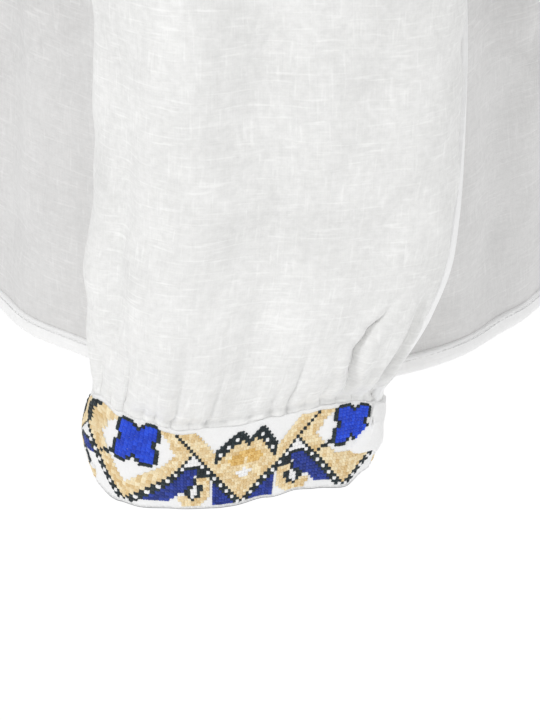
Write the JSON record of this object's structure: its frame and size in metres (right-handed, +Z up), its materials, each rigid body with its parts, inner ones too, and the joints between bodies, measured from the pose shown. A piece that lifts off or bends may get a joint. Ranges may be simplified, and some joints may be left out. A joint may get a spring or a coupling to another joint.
{
  "type": "blouse",
  "caption": "Loose pullover blouse, filled out and hollow, with full gathered sleeves on cross-stitched band cuffs.",
  "frame": {"origin": "midway between the two neck points, at the height of the shoulder seams' inner ends, where a wearer holds it up", "axes": "+Z up, -Y out of the front, +X to the wearer's left"},
  "size_m": [0.655, 0.3151, 0.6361],
  "materials": {
    "voile": "matt white slubbed voile, semi-sheer",
    "embroidered_band": "white cotton band with cross-stitch in navy, royal blue and sand"
  },
  "bodies": {
    "root": {"body_front": "voile", "body_back": "voile", "sleeve_left": "voile", "sleeve_right": "voile", "neck_binding": "voile", "cuff_left": "embroidered_band", "cuff_right": "embroidered_band"}
  },
  "joints": []
}
